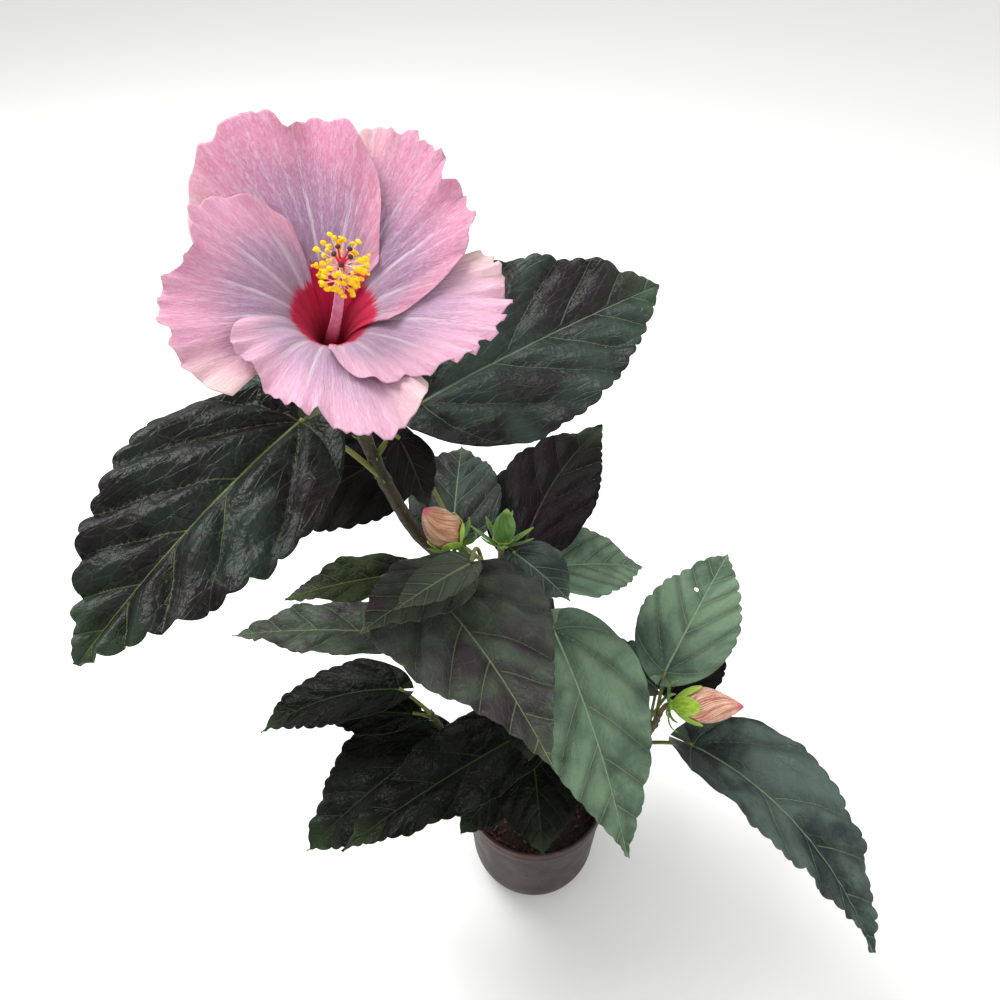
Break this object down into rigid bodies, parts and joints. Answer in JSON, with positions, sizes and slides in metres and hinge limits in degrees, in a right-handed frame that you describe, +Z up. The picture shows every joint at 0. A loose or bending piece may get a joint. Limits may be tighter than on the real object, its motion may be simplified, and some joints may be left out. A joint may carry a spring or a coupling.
{
  "type": "potted hibiscus shrub",
  "caption": "Young hibiscus shrub in a small round nursery pot: a leaning stem with side branches, broad toothed leaves, closed buds and one large open bloom at the top.",
  "frame": {"origin": "middle of the flat underside of the pot, on the ground it stands on", "axes": "+Z up; the shrub leans to -X, where its open bloom is; the bloom faces up and towards -Y, and the longest right-hand branch reaches to +X"},
  "size_m": [0.4258, 0.2894, 0.5961],
  "materials": {
    "pot": "matte",
    "soil": "rough",
    "bark": "satin",
    "blade": "satin",
    "petal": "matte",
    "stamen": "matte",
    "calyx": "satin",
    "bud": "matte"
  },
  "bodies": {
    "root": {"pot": "pot", "soil": "soil", "main_stem": "bark", "flower_branch": "bark", "right_branch": "bark", "left_branch": "bark", "leaf_upper_left": "blade", "leaf_upper_right": "blade", "leaf_behind_stem": "blade", "leaf_behind_bloom": "blade", "leaf_under_bloom": "blade", "leaf_back_upright": "blade", "leaf_back_dark": "blade", "leaf_right_upper": "blade", "leaf_top_small": "blade", "leaf_front_large": "blade", "leaf_front_small": "blade", "leaf_front_left": "blade", "leaf_left_narrow": "blade", "leaf_left_long": "blade", "leaf_right_large": "blade", "leaf_inner_front": "blade", "leaf_low_left": "blade", "leaf_low_left_small": "blade", "leaf_low_front_left": "blade", "leaf_low_front": "blade", "leaf_over_rim_left": "blade", "leaf_over_rim_right": "blade", "leaf_right_inner": "blade", "leaf_right_back": "blade", "leaf_right_small": "blade", "leaf_right_low_back": "blade", "leaf_far_right": "blade", "leaf_rear_high": "blade", "leaf_rear_left": "blade", "leaf_rear_right": "blade", "leaf_rear_low": "blade", "petal_top": "petal", "petal_upper_right": "petal", "petal_lower_right": "petal", "petal_bottom": "petal", "petal_left": "petal", "stamens": "stamen", "bloom_calyx": "calyx", "bud_peach": "bud", "bud_green": "bud", "bud_right": "bud", "calyx_peach": "calyx", "calyx_green": "calyx", "calyx_right": "calyx"}
  },
  "joints": []
}
